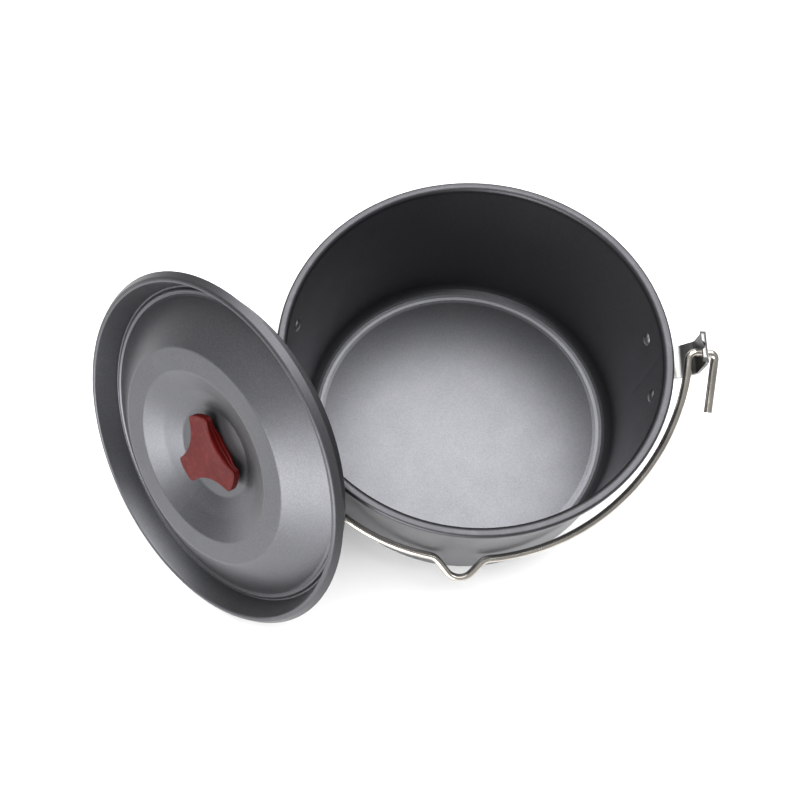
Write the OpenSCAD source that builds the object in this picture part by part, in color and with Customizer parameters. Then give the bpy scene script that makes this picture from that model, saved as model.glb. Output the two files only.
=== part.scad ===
// Camping cook pot with a folding wire bail handle and a loose lid that leans on the pot.
// Origin: centre of the pot's underside. +Z up, the bail's hinge axis lies along X,
// and -Y is the side the bail is folded down to.

/* [Pot] */
// Outer radius of the rolled lip
lip_r = 100; // [99.8:0.1:100.4]
// Height of the pot, floor to top of lip
pot_h = 103; // [102:0.5:104]
// Inner radius where the wall meets the bottom fillet
wall_r_bottom = 94.4; // [94:0.1:94.6]
// Inner radius just below the lip
wall_r_top = 94.8; // [94.6:0.1:95]
// Inner radius of the fillet between floor and wall
floor_fillet = 9.4; // [9:0.1:10.4]
// Sheet thickness of the pot
pot_t = 1; // [0.9:0.1:1.2]

/* [Ears] */
// Sheet thickness of the riveted ears
ear_t = 1.5; // [1.4:0.1:1.6]
// Width of the ear's neck and web
ear_w = 18; // [17:0.5:19]
// Distance from the pot's axis to the inner face of the upright web
web_x = 112.2; // [112:0.1:112.4]
// Height of the top of the ear above the lip
ear_rise = 7.8; // [7.4:0.2:8.2]
// Angle between the middle of an ear and each of its rivets
rivet_angle = 9.9; // [9.7:0.1:10.1]
// Depth of the rivets below the lip
rivet_drop = 18.5; // [18:0.5:19]
// Diameter of the rivet heads
rivet_head_d = 7.5; // [7:0.1:8]

/* [Bail handle] */
// Wire diameter
wire_d = 4.1; // [4:0.05:4.2]
// Radius of the bail's main arc, to the middle of the wire
bail_r = 107.8; // [107.6:0.1:108]
// Straight length between the hinge axis and the start of the arc
bail_straight = 7.1; // [7:0.1:7.6]
// Depth of the hinge axis below the lip
hinge_drop = 1; // [0.6:0.1:1.4]
// Angle of the folded bail below the horizontal
fold_angle = 31.5; // [29:0.1:31.6]
// Length of the free tail behind each hook, from the hinge axis
tail_len = 29.5; // [27:0.5:31]
// How far the hanging notch stands out beyond the arc
notch_rise = 10.4; // [10:0.2:11]

/* [Lid] */
// Radius of the rounded crest near the lid's edge
lid_crest_r = 91.5; // [91.3:0.1:91.7]
// Radius of the lid's outer edge
lid_edge_r = 95; // [94.9:0.1:95.2]
// Depth of the outer edge below the crest
lid_edge_drop = 3.2; // [3:0.1:3.3]
// Depth of the locating groove below the crest
lid_groove_depth = 13; // [12.8:0.1:13.2]
// Depth of the well that holds the knob
lid_well_depth = 10.8; // [10.6:0.1:11]
// Sheet thickness of the lid
lid_t = 1; // [0.8:0.1:1]
// Lean of the lid from the horizontal
lid_tilt = 55; // [54.9:0.1:55.1]
// Direction the lid's top faces, seen from above
lid_azimuth = 226; // [225.6:0.1:226.4]

/* [Knob] */
// Radius to the corners of the knob's lobes
knob_r = 22.7; // [22:0.1:24]
// Width of each lobe's end
knob_lobe_w = 14.7; // [14:0.1:16]
// Radius at the middle of each hollow side
knob_waist_r = 12.2; // [11.5:0.1:13]
// Height of the knob
knob_h = 7; // [6.5:0.5:9]
// Direction of the first lobe on the lid
knob_turn = 97; // [90:0.5:104]

/* [Hidden] */

// Smoothness of full turns and of small turned parts
turn_fn = 180;
small_fn = 48;
// Number of steps in a rounded corner of a sheet's section
corner_steps = 8;

hinge_z = pot_h - hinge_drop;
rivet_z = pot_h - rivet_drop;
wire_r = wire_d / 2;

// Lip section: inner flare radius, edge radius and the depth of the turned-down edge
flare_r = 2.6;
lip_edge_r = 1.6;
lip_edge_drop = 2.4;

// Rivets: shank radius, height of the domed inner head, height of the outer head
rivet_shank_r = 2.4;
rivet_dome_h = 1.7;
rivet_outer_h = 1.3;
rivet_bed = 0.12;

// Base plate of an ear: half angle, height and corner radius
plate_half_angle = 14.6;
plate_h = 17;
plate_corner_r = 6;

// Neck of an ear: gap to the wall, depth of its shelf below the lip, radius and height
// of the bend up to the web, length of the edge folded in at the top
neck_gap = 0.05;
neck_foot = 2;
shelf_drop = 11.4;
shelf_r = 105.8;
shelf_ramp = 6;
fold_len = 1.7;

// Top of an ear: notch that steadies the upright bail, its place, and the corner radius
ear_notch_r = 2.5;
ear_notch_x = web_x - fold_len - 0.9;
ear_corner_r = 3.5;

// Length of a cutter that goes through a sheet, and how far a cutter runs past a face
cutter_len = 10;
overcut = 1;

// Hook of the bail: corner radius and distance from arm to tail
hook_r = 3;
hook_w = 12.5;
hinge_clearance = 0.08;

// Wire: how far straights lap over bends, and how much thinner the bends are
wire_lap = 0.1;
bend_thinning = 0.02;

// Hanging notch: bottom radius, shoulder radius, slope of its flanks
notch_bottom_r = 8.5;
notch_shoulder_r = 7;
notch_slope = 50;

// Lid position: centre of the crest circle
lid_pos = [-137.5, -61.4, pot_h - 23.3];

// Radius of the rounded corners of the knob's lobes
knob_corner_r = 1.6;

// Knob fixing: screw shank, bores, insert, washer, screw head and its cross recess
screw_r = 2;
screw_bore_r = 2.03;
lid_hole_r = 2.6;
insert_r = 3.6;
insert_h = 5.5;
washer_r = 6.5;
washer_t = 1;
screw_head_r = 4;
screw_head_h = 2.4;
screw_reach = 4.6;
washer_bore_r = 2.23;
recess_w = 1.2;
recess_len = 5;
recess_depth = 1;

function unit(v) = v / norm(v);
function left_of(v) = [-v[1], v[0]];
function polar(r, a) = r * [cos(a), sin(a)];
function angle_of(v) = atan2(v[1], v[0]);
// Smallest signed turn from direction a to direction b
function turn(a, b) = let (d = b - a) d - 360 * round(d / 360);

// Points of the arc of radius r that rounds the corner at b between a and c
function corner(a, b, c, r) =
    let (u = unit(a - b),
         w = unit(c - b),
         half = acos(u * w) / 2,
         centre = b + unit(u + w) * r / sin(half),
         p = b + u * r / tan(half) - centre,
         q = b + w * r / tan(half) - centre,
         start = angle_of(p),
         sweep = turn(start, angle_of(q)))
    [for (i = [0 : corner_steps]) centre + polar(r, start + sweep * i / corner_steps)];

// A path [x, y, corner radius] with its corners rounded
function rounded(path) =
    let (last = len(path) - 1, p = [for (v = path) [v[0], v[1]]])
    [for (i = [0 : last])
        each (i == 0 || i == last || path[i][2] == 0) ? [p[i]]
            : corner(p[i - 1], p[i], p[i + 1], path[i][2])];

// A closed outline [x, y, corner radius] with its corners rounded
function rounded_loop(path) =
    let (n = len(path), p = [for (v = path) [v[0], v[1]]])
    [for (i = [0 : n - 1])
        each path[i][2] == 0 ? [p[i]]
            : corner(p[(i + n - 1) % n], p[i], p[(i + 1) % n], path[i][2])];

// The path moved sideways by d, to its left where d is positive
function beside(path, d) =
    let (last = len(path) - 1)
    [for (i = [0 : last])
        let (before = unit(path[max(i, 1)] - path[max(i, 1) - 1]),
             after = unit(path[min(i, last - 1) + 1] - path[min(i, last - 1)]),
             n = left_of(unit(before + after)))
        path[i] + n * d / (n * left_of(before))];

function reversed(list) = [for (i = [len(list) - 1 : -1 : 0]) list[i]];

// Section of a sheet of thickness t that lies to the right of its path
module sheet(path, t) polygon(concat(path, reversed(beside(path, -t))));

// Inner radius of the pot's wall at height z
function wall_r(z) =
    let (low = pot_t + floor_fillet, high = pot_h - flare_r)
    wall_r_bottom + (wall_r_top - wall_r_bottom) * (z - low) / (high - low);

// Inner face of the pot, from the middle of the floor to the turned-down lip edge
module pot_section() {
    inner = rounded([
        [0, pot_t, 0],
        [wall_r_bottom, pot_t, floor_fillet],
        [wall_r_top, pot_h, flare_r],
        [lip_r, pot_h, lip_edge_r],
        [lip_r, pot_h - lip_edge_drop - lip_edge_r / 2, 0]]);
    // The path runs anticlockwise, so the sheet lies on its right
    sheet(inner, pot_t);
}

module pot_body() {
    color([0.52, 0.54, 0.55])
    difference() {
        rotate_extrude($fn = turn_fn) pot_section();
        for (side = [0, 180], offset_angle = [-rivet_angle, rivet_angle])
            rivet_place(side, offset_angle) rivet_bore();
    }
}

// Puts a rivet's own frame on the pot's inner wall: +Z points into the pot
module rivet_place(side, offset_angle) {
    rotate([0, 0, side + offset_angle])
        translate([wall_r(rivet_z), 0, rivet_z])
            rotate([0, -90, 0])
                children();
}

// Hole for a rivet's shank through wall and ear
module rivet_bore() cylinder(h = 2 * cutter_len, r = rivet_shank_r, center = true, $fn = small_fn);

module rivet(side, offset_angle) {
    head_r = rivet_head_d / 2;
    outside = pot_t + ear_t;
    dome_r = (head_r * head_r + rivet_dome_h * rivet_dome_h) / (2 * rivet_dome_h);
    color([0.72, 0.73, 0.73])
    rivet_place(side, offset_angle) {
        translate([0, 0, -outside])
            cylinder(h = outside, r = rivet_shank_r, $fn = small_fn);
        // Domed head inside the pot
        intersection() {
            translate([0, 0, rivet_dome_h - dome_r - rivet_bed])
                sphere(r = dome_r, $fn = turn_fn);
            translate([0, 0, -rivet_bed])
                cylinder(h = rivet_dome_h, r = head_r, $fn = small_fn);
        }
        // Flat head outside the ear
        translate([0, 0, -outside - rivet_outer_h])
            cylinder(h = rivet_outer_h, r = head_r, $fn = small_fn);
    }
}

module left_front_rivet() rivet(180, rivet_angle);
module left_rear_rivet() rivet(180, -rivet_angle);
module right_front_rivet() rivet(0, -rivet_angle);
module right_rear_rivet() rivet(0, rivet_angle);

// Bent neck of the ear: up the wall, out as a shelf, up as a web, folded in at the top
module ear_neck_section() {
    top = pot_h + ear_rise - ear_t;
    shelf_z = pot_h - shelf_drop;
    stand = wall_r(shelf_z) + pot_t + neck_gap;
    sheet(rounded([
        [stand, rivet_z - neck_foot, 0],
        [stand, shelf_z, 2.6],
        [shelf_r, shelf_z, 5],
        [web_x, shelf_z + shelf_ramp, 2],
        [web_x, top, 0.8],
        [web_x - fold_len, top, 0]]), ear_t);
}

// Curved plate that lies on the wall and takes both rivets
module ear_plate() {
    low = rivet_z - plate_h / 2;
    high = rivet_z + plate_h / 2;
    half_w = (wall_r(rivet_z) + pot_t) * sin(plate_half_angle);
    band = plate_half_angle + 3;
    intersection() {
        rotate([0, 0, -band])
            rotate_extrude(angle = 2 * band, $fn = turn_fn)
                sheet([[wall_r(low) + pot_t, low], [wall_r(high) + pot_t, high]], ear_t);
        translate([wall_r(rivet_z) - 2 * cutter_len, 0, rivet_z])
            rotate([90, 0, 90])
                linear_extrude(4 * cutter_len)
                    polygon(rounded_loop([
                        [-half_w, -plate_h / 2, plate_corner_r],
                        [half_w, -plate_h / 2, plate_corner_r],
                        [half_w, plate_h / 2, plate_corner_r],
                        [-half_w, plate_h / 2, plate_corner_r]]));
    }
}

// Square corner of the web, less its quarter round, for the side s of the ear
module web_corner_cutter(s) {
    edge = ear_corner_r + overcut;
    translate([web_x - cutter_len / 2, s * (ear_w / 2 - ear_corner_r),
               pot_h + ear_rise - ear_corner_r])
        rotate([0, 90, 0])
            difference() {
                translate([-edge, s > 0 ? 0 : -edge, 0])
                    cube([edge, edge, cutter_len]);
                translate([0, 0, -overcut])
                    cylinder(h = cutter_len + 2 * overcut, r = ear_corner_r, $fn = small_fn);
            }
}

module ear(side) {
    color([0.66, 0.66, 0.64])
    difference() {
        rotate([0, 0, side])
        difference() {
            union() {
                rotate([90, 0, 0])
                    linear_extrude(ear_w, center = true)
                        ear_neck_section();
                ear_plate();
            }
            // Hinge hole for the bail
            translate([web_x, 0, hinge_z])
                rotate([0, 90, 0])
                    cylinder(h = cutter_len, r = wire_r + hinge_clearance, center = true,
                             $fn = small_fn);
            // Notch in the folded edge that steadies the upright bail
            translate([ear_notch_x, 0, pot_h + ear_rise])
                cylinder(h = cutter_len, r = ear_notch_r, center = true, $fn = small_fn);
            for (s = [-1, 1])
                web_corner_cutter(s);
        }
        for (offset_angle = [-rivet_angle, rivet_angle])
            rivet_place(side, offset_angle) rivet_bore();
    }
}

module left_ear() ear(180);
module right_ear() ear(0);

// A straight stretch of wire in the bail's own plane, lapping over whatever it meets
module wire_line(a, b) {
    along = unit(b - a);
    start = a - along * wire_lap;
    translate([start[0], start[1], 0])
        rotate([0, 0, angle_of(along)])
            rotate([0, 90, 0])
                cylinder(h = norm(b - a) + 2 * wire_lap, r = wire_r, $fn = small_fn);
}

// A bent stretch of wire about a centre, from one direction round to another
module wire_arc(centre, r, from, to) {
    translate([centre[0], centre[1], 0])
        rotate([0, 0, from])
            rotate_extrude(angle = to - from, $fn = turn_fn)
                translate([r, 0])
                    circle(r = wire_r - bend_thinning, $fn = small_fn);
}

// Centre of the main arc and of the hanging notch's bottom
function arc_centre() = [0, bail_straight];
function bottom_centre() = [0, bail_straight + bail_r + notch_rise - notch_bottom_r];

// One half of the bail in its own plane: X along the hinge axis, +Y away from it
module bail_half() {
    reach = bail_r + notch_shoulder_r;
    span = notch_bottom_r + notch_shoulder_r
        + (bottom_centre()[1] - bail_straight) * cos(notch_slope);
    // Direction of the shoulder's centre, measured from the middle of the bail
    shoulder_a = notch_slope - acos(span / reach);
    shoulder_centre = arc_centre() + polar(reach, 90 - shoulder_a);
    shoulder_start = arc_centre() + polar(bail_r, 90 - shoulder_a);
    shoulder_way = polar(wire_lap, 180 - shoulder_a);
    flank = polar(1, 90 - notch_slope);
    tail_x = bail_r + hook_w;
    // Hook: arm, corner, hinge pin, corner, tail
    wire_line([bail_r, hook_r], [bail_r, bail_straight]);
    wire_arc([bail_r + hook_r, hook_r], hook_r, 180, 270);
    wire_line([bail_r + hook_r, 0], [tail_x - hook_r, 0]);
    wire_arc([tail_x - hook_r, hook_r], hook_r, 270, 360);
    wire_line([tail_x, hook_r], [tail_x, tail_len]);
    // Main arc, shoulder and the flank of the notch
    wire_arc(arc_centre(), bail_r, 0, 90 - shoulder_a);
    wire_line(shoulder_start - shoulder_way, shoulder_start + shoulder_way);
    wire_arc(shoulder_centre, notch_shoulder_r, 270 - notch_slope, 270 - shoulder_a);
    wire_line(shoulder_centre - flank * notch_shoulder_r, bottom_centre() + flank * notch_bottom_r);
}

module bail_handle() {
    color([0.72, 0.70, 0.66])
    translate([0, 0, hinge_z])
        rotate([180 + fold_angle, 0, 0]) {
            bail_half();
            mirror([1, 0, 0]) bail_half();
            wire_arc(bottom_centre(), notch_bottom_r, 90 - notch_slope, 90 + notch_slope);
        }
}

// Stands the lid's own frame, with its crest circle at height 0, in its leaning place
module lid_place() {
    translate(lid_pos)
        rotate([0, lid_tilt, lid_azimuth])
            children();
}

// Top face of the lid, from the middle of the well to the outer edge
module lid_section() {
    groove = -lid_groove_depth;
    path = rounded([
        [0, -lid_well_depth, 0],
        [25.2, -lid_well_depth, 4],
        [36, -6.4, 30],
        [47, -0.7, 3],
        [59.2, 0, 3],
        [81.7, groove + 0.9, 0.8],
        [82.9, groove + 0.5, 0.5],
        [84.5, groove + 1.7, 1.15],
        [85.7, groove, 0.5],
        [86.7, groove, 0.6],
        [lid_crest_r - 1.2, 0, 1.1],
        [lid_crest_r + 0.9, 0, 1.9],
        [lid_edge_r, -lid_edge_drop, 0]]);
    sheet(path, lid_t);
}

module lid() {
    color([0.50, 0.52, 0.53])
    lid_place()
    difference() {
        rotate_extrude($fn = turn_fn) lid_section();
        translate([0, 0, -lid_well_depth])
            cylinder(h = cutter_len, r = lid_hole_r, center = true, $fn = small_fn);
    }
}

// Puts the knob's own frame on the floor of the lid's well
module knob_place() {
    lid_place()
        translate([0, 0, -lid_well_depth])
            rotate([0, 0, knob_turn])
                children();
}

module lid_knob() {
    half_angle = asin(knob_lobe_w / 2 / knob_r);
    corners = [for (lobe = [0 : 2], side = [-1, 1]) polar(knob_r, 120 * lobe + side * half_angle)];
    // Circle through two neighbouring lobe corners and the waist between them
    half_chord = knob_r * sin(60 - half_angle);
    sag = knob_r * cos(60 - half_angle) - knob_waist_r;
    hollow_r = (half_chord * half_chord + sag * sag) / (2 * sag);
    color([0.62, 0.10, 0.09])
    knob_place()
    difference() {
        linear_extrude(knob_h)
            polygon(rounded_loop([for (p = corners) [p[0], p[1], knob_corner_r]]));
        for (lobe = [0 : 2])
            rotate([0, 0, 120 * lobe + 60])
                translate([knob_waist_r + hollow_r, 0, -overcut])
                    cylinder(h = knob_h + 2 * overcut, r = hollow_r, $fn = turn_fn);
        cylinder(h = 2 * insert_h, r = insert_r, center = true, $fn = small_fn);
    }
}

module knob_insert() {
    color([0.78, 0.62, 0.30])
    knob_place()
    difference() {
        cylinder(h = insert_h, r = insert_r, $fn = small_fn);
        translate([0, 0, -overcut])
            cylinder(h = insert_h + 2 * overcut, r = screw_bore_r, $fn = small_fn);
    }
}

module knob_washer() {
    color([0.70, 0.71, 0.72])
    knob_place()
    translate([0, 0, -lid_t - washer_t])
    difference() {
        cylinder(h = washer_t, r = washer_r, $fn = small_fn);
        translate([0, 0, -overcut])
            cylinder(h = washer_t + 2 * overcut, r = washer_bore_r, $fn = small_fn);
    }
}

module knob_screw() {
    seat = -lid_t - washer_t;
    color([0.72, 0.73, 0.74])
    knob_place()
    difference() {
        union() {
            translate([0, 0, seat])
                cylinder(h = screw_reach - seat, r = screw_r, $fn = small_fn);
            translate([0, 0, seat - screw_head_h])
                cylinder(h = screw_head_h, r = screw_head_r, $fn = small_fn);
        }
        // Cross recess in the head
        for (a = [0, 90])
            rotate([0, 0, a])
                translate([0, 0, seat - screw_head_h])
                    cube([recess_len, recess_w, 2 * recess_depth], center = true);
    }
}

pot_body();
left_ear();
right_ear();
left_front_rivet();
left_rear_rivet();
right_front_rivet();
right_rear_rivet();
bail_handle();
lid();
lid_knob();
knob_insert();
knob_screw();
knob_washer();
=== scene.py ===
"""Camping cook pot: materials, knob, floor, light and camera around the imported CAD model."""

import math

import bmesh
import bpy
from mathutils import Euler, Matrix, Vector


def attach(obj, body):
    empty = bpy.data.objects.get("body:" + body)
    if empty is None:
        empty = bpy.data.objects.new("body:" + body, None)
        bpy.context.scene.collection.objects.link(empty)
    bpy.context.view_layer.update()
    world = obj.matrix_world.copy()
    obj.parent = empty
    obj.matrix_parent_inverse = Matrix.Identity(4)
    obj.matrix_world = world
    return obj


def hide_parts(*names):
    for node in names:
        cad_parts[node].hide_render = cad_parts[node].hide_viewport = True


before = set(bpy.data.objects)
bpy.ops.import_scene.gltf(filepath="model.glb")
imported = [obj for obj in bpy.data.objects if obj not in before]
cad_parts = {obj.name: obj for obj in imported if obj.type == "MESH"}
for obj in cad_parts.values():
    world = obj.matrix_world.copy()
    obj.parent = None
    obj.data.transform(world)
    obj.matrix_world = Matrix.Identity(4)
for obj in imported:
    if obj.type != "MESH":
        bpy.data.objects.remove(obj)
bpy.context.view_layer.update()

MM = 0.001
POT_H = 103 * MM

# The lid's own frame, as in the CAD source: crest circle's centre, lean and direction
LID_POS = Vector((-137.5, -61.4, 79.7)) * MM
LID_TURN = Euler((0, math.radians(55), math.radians(226)))
LID_PLACE = Matrix.Translation(LID_POS) @ LID_TURN.to_matrix().to_4x4()
WELL_DEPTH = 10.8 * MM
CREST_R = 91.5 * MM
KNOB_H = 7.0 * MM

# How far below the pot's top the lip's painted shade reaches, and how far down its edge is rubbed
LIP_SHADE_DEPTH = 4 * MM
RUB_DEPTH = 1.2 * MM


# ---------------------------------------------------------------- materials


class Shader:
    """A node material built on one Principled shader."""

    def __init__(self, name, **sockets):
        self.material = bpy.data.materials.new(name)
        self.material.use_nodes = True
        self.tree = self.material.node_tree
        self.tree.nodes.clear()
        out = self.tree.nodes.new("ShaderNodeOutputMaterial")
        self.bsdf = self.tree.nodes.new("ShaderNodeBsdfPrincipled")
        self.tree.links.new(self.bsdf.outputs[0], out.inputs[0])
        for socket, value in sockets.items():
            self.bsdf.inputs[socket.replace("_", " ")].default_value = value
        coord = self.tree.nodes.new("ShaderNodeTexCoord")
        self.place = coord.outputs["Object"]

    def node(self, kind, inputs=(), **settings):
        made = self.tree.nodes.new("ShaderNode" + kind)
        for key, value in settings.items():
            setattr(made, key, value)
        for key, value in dict(inputs).items():
            socket = made.inputs[key]
            if isinstance(value, bpy.types.NodeSocket):
                self.tree.links.new(value, socket)
            else:
                socket.default_value = value
        return made

    def set(self, socket, value):
        self.tree.links.new(value, self.bsdf.inputs[socket])

    def local(self, location, turn):
        """Coordinates in a part's own frame"""
        made = self.node(
            "Mapping",
            {"Vector": self.place, "Location": location, "Rotation": turn},
            vector_type="TEXTURE",
        )
        self.place = made.outputs[0]

    def noise(self, scale, detail=2.0, rough=0.5, vector=None, stretch=None):
        vector = vector or self.place
        if stretch:
            vector = self.node("Mapping", {"Vector": vector, "Scale": stretch}).outputs[0]
        made = self.node(
            "TexNoise",
            {"Vector": vector, "Scale": scale, "Detail": detail, "Roughness": rough},
        )
        return made.outputs["Fac"]

    def math(self, operation, a, b=0.0, clamp=False):
        made = self.node("Math", {0: a, 1: b}, operation=operation)
        made.use_clamp = clamp
        return made.outputs[0]

    def remap(self, value, low, high, to_low=0.0, to_high=1.0):
        made = self.node(
            "MapRange",
            {"Value": value, "From Min": low, "From Max": high, "To Min": to_low, "To Max": to_high},
        )
        return made.outputs[0]

    def blend(self, factor, a, b):
        made = self.node("Mix", data_type="RGBA")
        for index, value in ((0, factor), (6, a), (7, b)):
            if isinstance(value, bpy.types.NodeSocket):
                self.tree.links.new(value, made.inputs[index])
            elif index:
                made.inputs[index].default_value = (*value, 1)
            else:
                made.inputs[index].default_value = value
        return made.outputs[2]

    def axes(self):
        made = self.node("SeparateXYZ", {0: self.place})
        return made.outputs

    def radius(self):
        x, y, _ = self.axes()
        squares = (self.math("MULTIPLY", x, x), self.math("MULTIPLY", y, y))
        return self.math("SQRT", self.math("ADD", *squares))

    def bump(self, height, strength, distance, under=None):
        inputs = {"Height": height, "Strength": strength, "Distance": distance}
        if under is not None:
            inputs["Normal"] = under
        return self.node("Bump", inputs).outputs[0]


# Anodised sheet: how metallic, its spun rings, and the dark colour laid on as painted shade
ANODISED_METAL = 0.88
RINGS_PER_M = 900
PAINTED_SHADE_COLOUR = (0.034, 0.034, 0.037)
# How much of the painted shade colour and of the rubbed colour the pot's lip and the lid's rim take
LIP_PAINTED_SHADE = 0.75
RIM_PAINTED_SHADE = 0.6
LIP_RUBBED = 0.1
RIM_RUBBED = 0.15
# A texture's middle values, which are spread over the whole blend
TONE_LOW = 0.3
TONE_HIGH = 0.7


def finish_anodised(s, dark, light, roughness, ring_strength, painted_shade, wear, wear_colour):
    """Colour, roughness and bump of an anodised sheet, with its painted shade and its worn places"""
    cloud = s.noise(22, 3)
    grain = s.noise(1300, 2.0, 0.6)
    ring_place = s.node("CombineXYZ", {0: s.math("MULTIPLY", s.radius(), RINGS_PER_M)})
    rings = s.noise(1.0, 1.0, vector=ring_place.outputs[0])
    tone = s.math("ADD", s.math("MULTIPLY", cloud, 0.25), s.math("MULTIPLY", grain, 0.75))
    colour = s.blend(s.remap(tone, TONE_LOW, TONE_HIGH), dark, light)
    # Painted shade: the given places take a dark colour
    colour = s.blend(painted_shade, colour, PAINTED_SHADE_COLOUR)
    colour = s.blend(wear, colour, wear_colour)
    s.set("Base Color", colour)
    rough = s.remap(s.noise(60, 4), TONE_LOW, TONE_HIGH, roughness - 0.015, roughness + 0.015)
    s.set("Roughness", s.math("SUBTRACT", rough, s.math("MULTIPLY", wear, 0.08)))
    low = s.bump(rings, ring_strength, 0.02 * MM)
    s.set("Normal", s.bump(grain, 0.35, 0.03 * MM, low))
    return s.material


def pot_material():
    """Anodised pot with painted shade darkening the lip, whose very edge is rubbed bright in places"""
    s = Shader("pot_anodised", Metallic=ANODISED_METAL)
    z = s.axes()[2]
    edge = s.math(
        "MULTIPLY",
        s.remap(z, POT_H - RUB_DEPTH, POT_H - 0.1 * MM),
        s.remap(s.noise(130, 5, 0.65), 0.52, 0.74),
        clamp=True,
    )
    return finish_anodised(
        s, (0.082, 0.083, 0.090), (0.114, 0.115, 0.123), 0.40, 0.12,
        # Painted shade darkening the lip over its top few millimetres
        s.math("MULTIPLY", s.remap(z, POT_H - LIP_SHADE_DEPTH, POT_H - LIP_SHADE_DEPTH / 2), LIP_PAINTED_SHADE),
        s.math("MULTIPLY", edge, LIP_RUBBED), (0.16, 0.16, 0.17),
    )


def lid_material():
    """Anodised lid with painted shade darkening the outer edge, and a crest that is rubbed bright in
    places
    """
    s = Shader("lid_anodised", Metallic=ANODISED_METAL)
    s.local(LID_POS, LID_TURN)
    crest = s.math(
        "MULTIPLY",
        s.remap(s.axes()[2], -1.0 * MM, 0.0),
        s.remap(s.noise(120, 5, 0.65), 0.54, 0.76),
        clamp=True,
    )
    # Painted shade darkening the sloping outer edge beyond the crest
    rim_painted_shade_mask = s.remap(s.radius(), CREST_R - 1 * MM, CREST_R + 1 * MM)
    return finish_anodised(
        s, (0.070, 0.071, 0.077), (0.098, 0.099, 0.106), 0.42, 0.18,
        s.math("MULTIPLY", rim_painted_shade_mask, RIM_PAINTED_SHADE),
        s.math("MULTIPLY", crest, RIM_RUBBED), (0.18, 0.18, 0.19),
    )


def steel(name, dark, light, roughness, stretch, line_scale):
    """Stainless steel with fine drawn or brushed lines along one axis"""
    s = Shader(name, Metallic=1.0)
    lines = s.noise(line_scale, 2.0, 0.6, stretch=stretch)
    cloud = s.noise(70, 4)
    s.set("Base Color", s.blend(s.remap(cloud, 0.35, 0.65), dark, light))
    tone = s.math("ADD", s.math("MULTIPLY", lines, 0.6), s.math("MULTIPLY", cloud, 0.4))
    s.set("Roughness", s.remap(tone, TONE_LOW, TONE_HIGH, roughness - 0.05, roughness + 0.06))
    s.set("Normal", s.bump(lines, 0.25, 0.02 * MM))
    return s.material


def brass():
    """Turned brass of the knob's insert"""
    s = Shader("insert_brass", Metallic=1.0)
    turned = s.noise(1500, 2.0)
    s.set("Base Color", s.blend(turned, (0.62, 0.45, 0.18), (0.76, 0.60, 0.30)))
    s.set("Roughness", s.remap(turned, TONE_LOW, TONE_HIGH, 0.24, 0.36))
    s.set("Normal", s.bump(turned, 0.2, 0.02 * MM))
    return s.material


def knob_plastic():
    """Moulded red plastic: fine spark texture, the top face and top edge painted paler in patches as a
    painted sheen
    """
    s = Shader("knob_plastic", Metallic=0.0, IOR=1.5, Specular_IOR_Level=0.12)
    s.local(LID_POS, LID_TURN)
    pores = s.noise(2600, 1.0, 0.5)
    cloud = s.noise(90, 3)
    # Painted sheen: the top face and top edge turn paler in patches
    top = s.remap(s.axes()[2], KNOB_H - WELL_DEPTH - 0.9 * MM, KNOB_H - WELL_DEPTH)
    top_sheen = s.math("MULTIPLY", top, s.remap(s.noise(260, 4, 0.6), 0.5, 0.72), clamp=True)
    hue = s.remap(cloud, TONE_LOW, TONE_HIGH)
    colour = s.blend(hue, (0.048, 0.0012, 0.0010), (0.064, 0.0020, 0.0016))
    s.set("Base Color", s.blend(s.math("MULTIPLY", top_sheen, 0.25), colour, (0.16, 0.030, 0.028)))
    s.set("Roughness", s.remap(pores, TONE_LOW, TONE_HIGH, 0.36, 0.48))
    s.set("Normal", s.bump(pores, 0.3, 0.03 * MM))
    return s.material


def floor_material():
    """Plain pale matt floor"""
    s = Shader("floor_white", Metallic=0.0)
    s.bsdf.inputs["Specular IOR Level"].default_value = 0.1
    s.set("Base Color", s.blend(s.noise(9, 3), (0.86, 0.86, 0.86), (0.88, 0.88, 0.88)))
    s.set("Roughness", s.remap(s.noise(40, 2), TONE_LOW, TONE_HIGH, 0.7, 0.8))
    return s.material


def dress(materials):
    """Gives each CAD node its material by assigning to its object's slots"""
    for name, material in materials.items():
        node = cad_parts[name]
        if not node.material_slots:
            node.data.materials.append(material)
        for slot in node.material_slots:
            slot.material = material


POT = pot_material()
LID = lid_material()
WIRE = steel("bail_wire_steel", (0.38, 0.355, 0.325), (0.48, 0.45, 0.41), 0.22, (1, 0.1, 0.1), 2200)
EAR = steel("ear_sheet_steel", (0.17, 0.17, 0.167), (0.23, 0.23, 0.225), 0.32, (1, 0.06, 1), 1800)
RIVET = steel("rivet_satin", (0.44, 0.445, 0.45), (0.54, 0.545, 0.55), 0.30, (1, 1, 0.2), 1600)
FIXING = steel("fixing_stainless", (0.34, 0.34, 0.34), (0.42, 0.42, 0.42), 0.24, (1, 0.2, 1), 1600)
KNOB = knob_plastic()

dress({
    "pot_body": POT,
    "lid": LID,
    "bail_handle": WIRE,
    "left_ear": EAR,
    "right_ear": EAR,
    "left_front_rivet": RIVET,
    "left_rear_rivet": RIVET,
    "right_front_rivet": RIVET,
    "right_rear_rivet": RIVET,
    "lid_knob": KNOB,
    "knob_insert": brass(),
    "knob_screw": FIXING,
    "knob_washer": FIXING,
})


# --------------------------------------------------------------------- knob

# The knob's outline and height, as in the CAD source
KNOB_R = 22.7 * MM
LOBE_W = 14.7 * MM
WAIST_R = 12.2 * MM
KNOB_TURN = math.radians(97)
LOBES = 3
# Steps along each hollow waist, each lobe's end and the rounded top edge
WAIST_STEPS = 28
LOBE_STEPS = 8
EDGE_STEPS = 5
SMOOTHING_ROUNDS = 2
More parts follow.
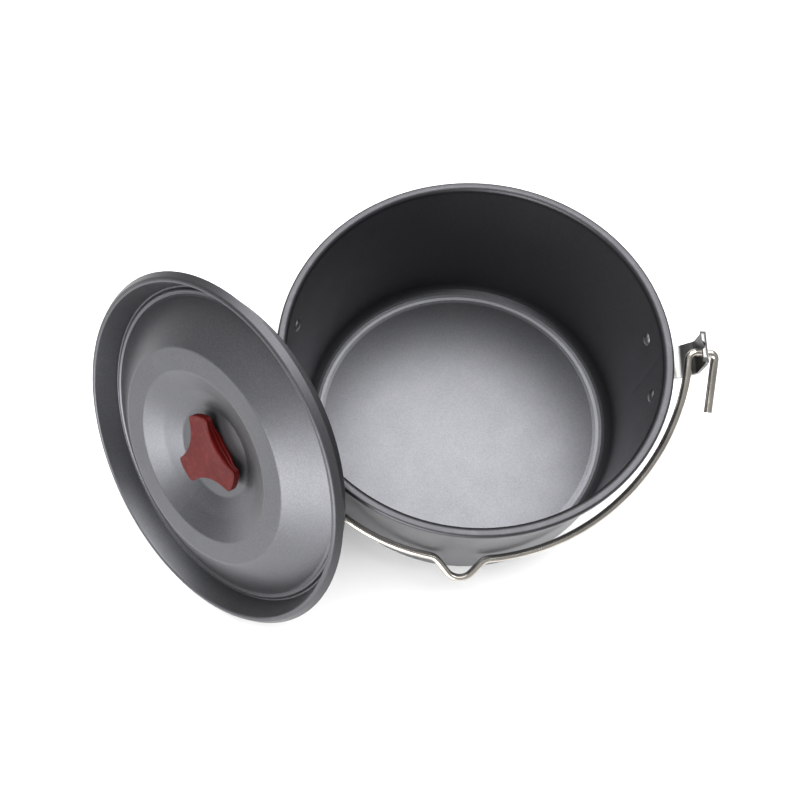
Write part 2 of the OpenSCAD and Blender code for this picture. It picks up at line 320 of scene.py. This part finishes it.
# Eased edge at the foot, rounded edge at the top, and the dish in the top face
FOOT_EDGE = 0.5 * MM
TOP_EDGE = 0.6 * MM
DISH = ((1.8 * MM, 0.05 * MM), (3.2 * MM, 0.16 * MM))
DISH_DEPTH = 0.22 * MM
# Heights of the two grip grooves, and their section as rise and depth
GROOVES = (2.2 * MM, 4.2 * MM)
GROOVE_SECTION = ((-0.5, 0.0), (-0.2, 0.22), (0.2, 0.22), (0.5, 0.0))
# The lobes' underside rises by this much from the first radius to the second
LOBE_LIFT = 3.0 * MM
LIFT_FROM = 12.5 * MM
LIFT_TO = 20.0 * MM


def polar(r, a):
    return Vector((r * math.cos(a), r * math.sin(a)))


def knob_outline():
    """Closed outline of the lobed knob, anticlockwise, with rounded lobe corners"""
    half = math.asin(LOBE_W / 2 / KNOB_R)
    chord = KNOB_R * math.sin(math.pi / LOBES - half)
    sag = KNOB_R * math.cos(math.pi / LOBES - half) - WAIST_R
    hollow_r = (chord * chord + sag * sag) / (2 * sag)
    points = []
    for lobe in range(LOBES):
        middle = 2 * math.pi * lobe / LOBES
        for i in range(LOBE_STEPS):
            points.append(polar(KNOB_R, middle - half + 2 * half * i / LOBE_STEPS))
        waist = middle + math.pi / LOBES
        centre = polar(WAIST_R + hollow_r, waist)
        reach = math.asin(chord / hollow_r)
        for i in range(WAIST_STEPS):
            points.append(centre - polar(hollow_r, waist + reach - 2 * reach * i / WAIST_STEPS))
    return points


def smoothed(points, rounds, keep=0.5):
    """The closed outline with its corners eased by moving points towards their neighbours"""
    for _ in range(rounds):
        points = [
            p.lerp((points[i - 1] + points[(i + 1) % len(points)]) / 2, keep)
            for i, p in enumerate(points)
        ]
    return points


def inset(points, d):
    """The closed outline moved inwards by d"""
    made = []
    for i, p in enumerate(points):
        along = (points[(i + 1) % len(points)] - points[i - 1]).normalized()
        made.append(p + Vector((-along.y, along.x)) * d)
    return made


def lifted(p, z):
    """A point of the knob's wall, raised where the underside of a lobe is scooped out"""
    reach = min(1.0, max(0.0, (p.length - LIFT_FROM) / (LIFT_TO - LIFT_FROM)))
    ease = reach * reach * (3 - 2 * reach)
    return Vector((p.x, p.y, z + LOBE_LIFT * ease * (1 - z / KNOB_H)))


def build_knob():
    """The knob as a moulded body with eased edges, two grip grooves, scooped lobes and a dished top"""
    outline = smoothed(knob_outline(), SMOOTHING_ROUNDS)
    profile = [(FOOT_EDGE, 0.0), (0.0, FOOT_EDGE)]
    for z in GROOVES:
        for rise, depth in GROOVE_SECTION:
            profile.append((depth * MM, z + rise * MM))
    for i in range(EDGE_STEPS + 1):
        a = math.pi / 2 * i / EDGE_STEPS
        inwards = TOP_EDGE * (1 - math.cos(a))
        profile.append((inwards, KNOB_H - TOP_EDGE + TOP_EDGE * math.sin(a)))
    for inwards, drop in DISH:
        profile.append((inwards, KNOB_H - drop))
    well = Matrix.Translation((0, 0, -WELL_DEPTH))
    place = LID_PLACE @ well @ Matrix.Rotation(KNOB_TURN, 4, "Z")
    bm = bmesh.new()
    rings = []
    for depth, z in profile:
        ring = inset(outline, depth)
        rings.append([bm.verts.new(place @ lifted(p, z)) for p in ring])
    count = len(outline)
    for low, high in zip(rings, rings[1:]):
        for i in range(count):
            bm.faces.new((low[i], low[(i + 1) % count], high[(i + 1) % count], high[i]))
    top = bm.verts.new(place @ Vector((0, 0, KNOB_H - DISH_DEPTH)))
    base = bm.verts.new(place @ Vector((0, 0, 0)))
    for i in range(count):
        bm.faces.new((rings[-1][i], rings[-1][(i + 1) % count], top))
        bm.faces.new((rings[0][(i + 1) % count], rings[0][i], base))
    bmesh.ops.recalc_face_normals(bm, faces=bm.faces)
    mesh = bpy.data.meshes.new("knob_moulding")
    bm.to_mesh(mesh)
    bm.free()
    mesh.materials.append(KNOB)
    mesh.shade_smooth()
    piece = bpy.data.objects.new("knob_moulding", mesh)
    bpy.context.scene.collection.objects.link(piece)
    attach(piece, "lid")
    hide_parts("lid_knob")


build_knob()


# ---------------------------------------------------- floor, light, camera

FLOOR_SIZE = 8.0
WORLD_STRENGTH = 0.50
# Softboxes: place, point aimed at, width and height in metres, power in watts
TOP_SOFTBOX = ((0.05, 0.50, 1.50), (0, 0, 0.05), (1.9, 1.5), 62)
FRONT_SOFTBOX = ((-0.62, -1.25, 0.55), (-0.05, 0, 0.05), (1.2, 0.8), 30)
# Camera: yaw, dip below the horizontal and roll in degrees, and its place from the
# middle of the pot's mouth
CAMERA_ANGLES = (6.8663, 69.5674, -3.7612)
CAMERA_PLACE = Vector((-30.986, -175.728, 326.392)) * MM + Vector((0, 0, POT_H))
CAMERA_LENS = 32.620
CAMERA_SHIFT = (0.028783, 0.050914)


def make_floor():
    mesh = bpy.data.meshes.new("studio_floor")
    h = FLOOR_SIZE / 2
    mesh.from_pydata([(-h, -h, 0), (h, -h, 0), (h, h, 0), (-h, h, 0)], [], [(0, 1, 2, 3)])
    mesh.materials.append(floor_material())
    floor = bpy.data.objects.new("studio_floor", mesh)
    bpy.context.scene.collection.objects.link(floor)


def softbox(name, place, aim, size, power):
    data = bpy.data.lights.new(name, "AREA")
    data.shape = "RECTANGLE"
    data.size, data.size_y = size
    data.energy = power
    lamp = bpy.data.objects.new(name, data)
    lamp.location = place
    lamp.rotation_euler = (Vector(aim) - Vector(place)).to_track_quat("-Z", "Y").to_euler()
    lamp.visible_camera = False
    bpy.context.scene.collection.objects.link(lamp)


def make_world(strength):
    world = bpy.data.worlds.new("studio_world")
    world.use_nodes = True
    background = world.node_tree.nodes["Background"]
    background.inputs["Color"].default_value = (1.0, 1.0, 1.0, 1)
    background.inputs["Strength"].default_value = strength
    bpy.context.scene.world = world


def make_camera():
    yaw, dip, roll = (math.radians(v) for v in CAMERA_ANGLES)
    turn = Matrix.Rotation(yaw, 3, "Z")
    forward = turn @ Vector((0, math.cos(dip), -math.sin(dip)))
    level_up = turn @ Vector((0, math.sin(dip), math.cos(dip)))
    level_right = turn @ Vector((1, 0, 0))
    right = math.cos(roll) * level_right + math.sin(roll) * level_up
    up = -math.sin(roll) * level_right + math.cos(roll) * level_up
    data = bpy.data.cameras.new("camera")
    data.sensor_width = 36
    data.lens = CAMERA_LENS
    data.shift_x, data.shift_y = CAMERA_SHIFT
    data.clip_start = 0.01
    camera = bpy.data.objects.new("camera", data)
    place = Matrix((right, up, -forward)).transposed().to_4x4()
    place.translation = CAMERA_PLACE
    camera.matrix_world = place
    bpy.context.scene.collection.objects.link(camera)
    bpy.context.scene.camera = camera


make_floor()
make_camera()
make_world(WORLD_STRENGTH)
softbox("top_softbox", *TOP_SOFTBOX)
softbox("front_softbox", *FRONT_SOFTBOX)
view = bpy.context.scene.view_settings
view.view_transform = "Standard"
view.look = "None"
